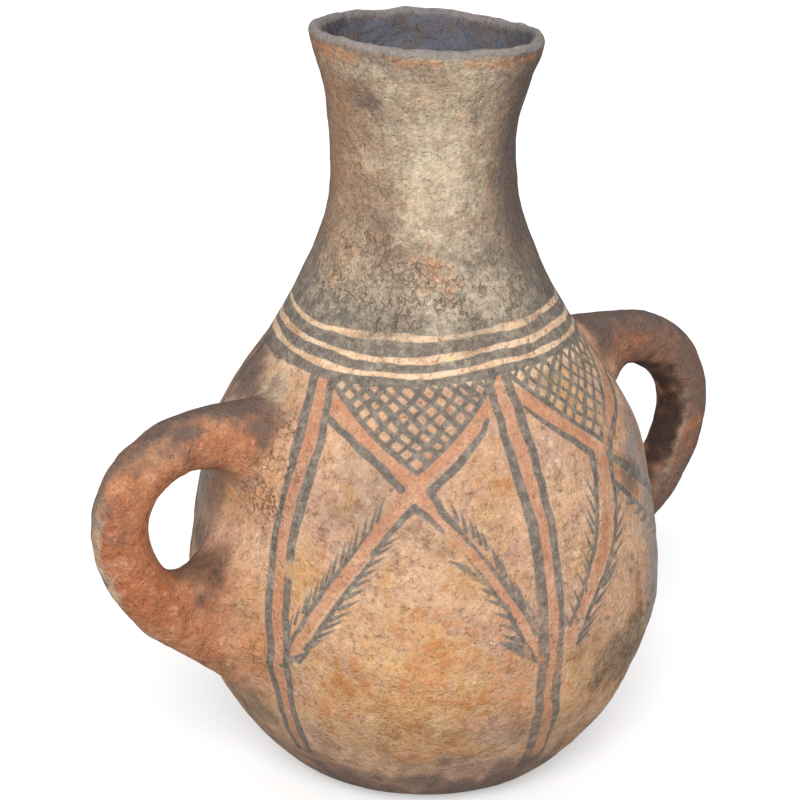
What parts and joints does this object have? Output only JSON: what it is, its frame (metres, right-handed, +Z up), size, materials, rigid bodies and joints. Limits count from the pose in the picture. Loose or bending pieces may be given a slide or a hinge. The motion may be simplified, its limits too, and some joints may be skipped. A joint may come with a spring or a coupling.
{
  "type": "two-handled terracotta jar",
  "caption": "Hand-built clay jar with a round belly, a long flaring neck and a loop handle each side, painted with bands, crosses and latticed triangles, for carrying and keeping water.",
  "frame": {"origin": "centre of the flat underside of the base, on the jar's axis", "axes": "+Z up along the jar's axis; the handles lie along X, the left one at -X; the painted front faces -Y"},
  "size_m": [0.4021, 0.253, 0.402],
  "materials": {
    "painted_clay": "matt buff-pink slip with brick red and black brush bands, worn and mottled",
    "washed_clay": "matt dark brown-grey wash over clay, with pale reserved lines at the neck's root",
    "smoked_clay": "matt clay darkened by smoke",
    "bar_clay": "matt orange-red clay, smoke-darkened along the top"
  },
  "bodies": {
    "root": {"base_slab": "smoked_clay", "foot_coil": "painted_clay", "lower_belly_coil": "painted_clay", "belly_coil": "painted_clay", "upper_belly_coil": "painted_clay", "lower_shoulder_coil": "painted_clay", "shoulder_coil": "painted_clay", "neck_root_coil": "washed_clay", "lower_neck_coil": "washed_clay", "middle_neck_coil": "washed_clay", "upper_neck_coil": "washed_clay", "rim_coil": "washed_clay", "handle_left": "bar_clay", "handle_right": "bar_clay", "upper_luting_left": "bar_clay", "lower_luting_left": "bar_clay", "upper_luting_right": "bar_clay", "lower_luting_right": "bar_clay"}
  },
  "joints": []
}
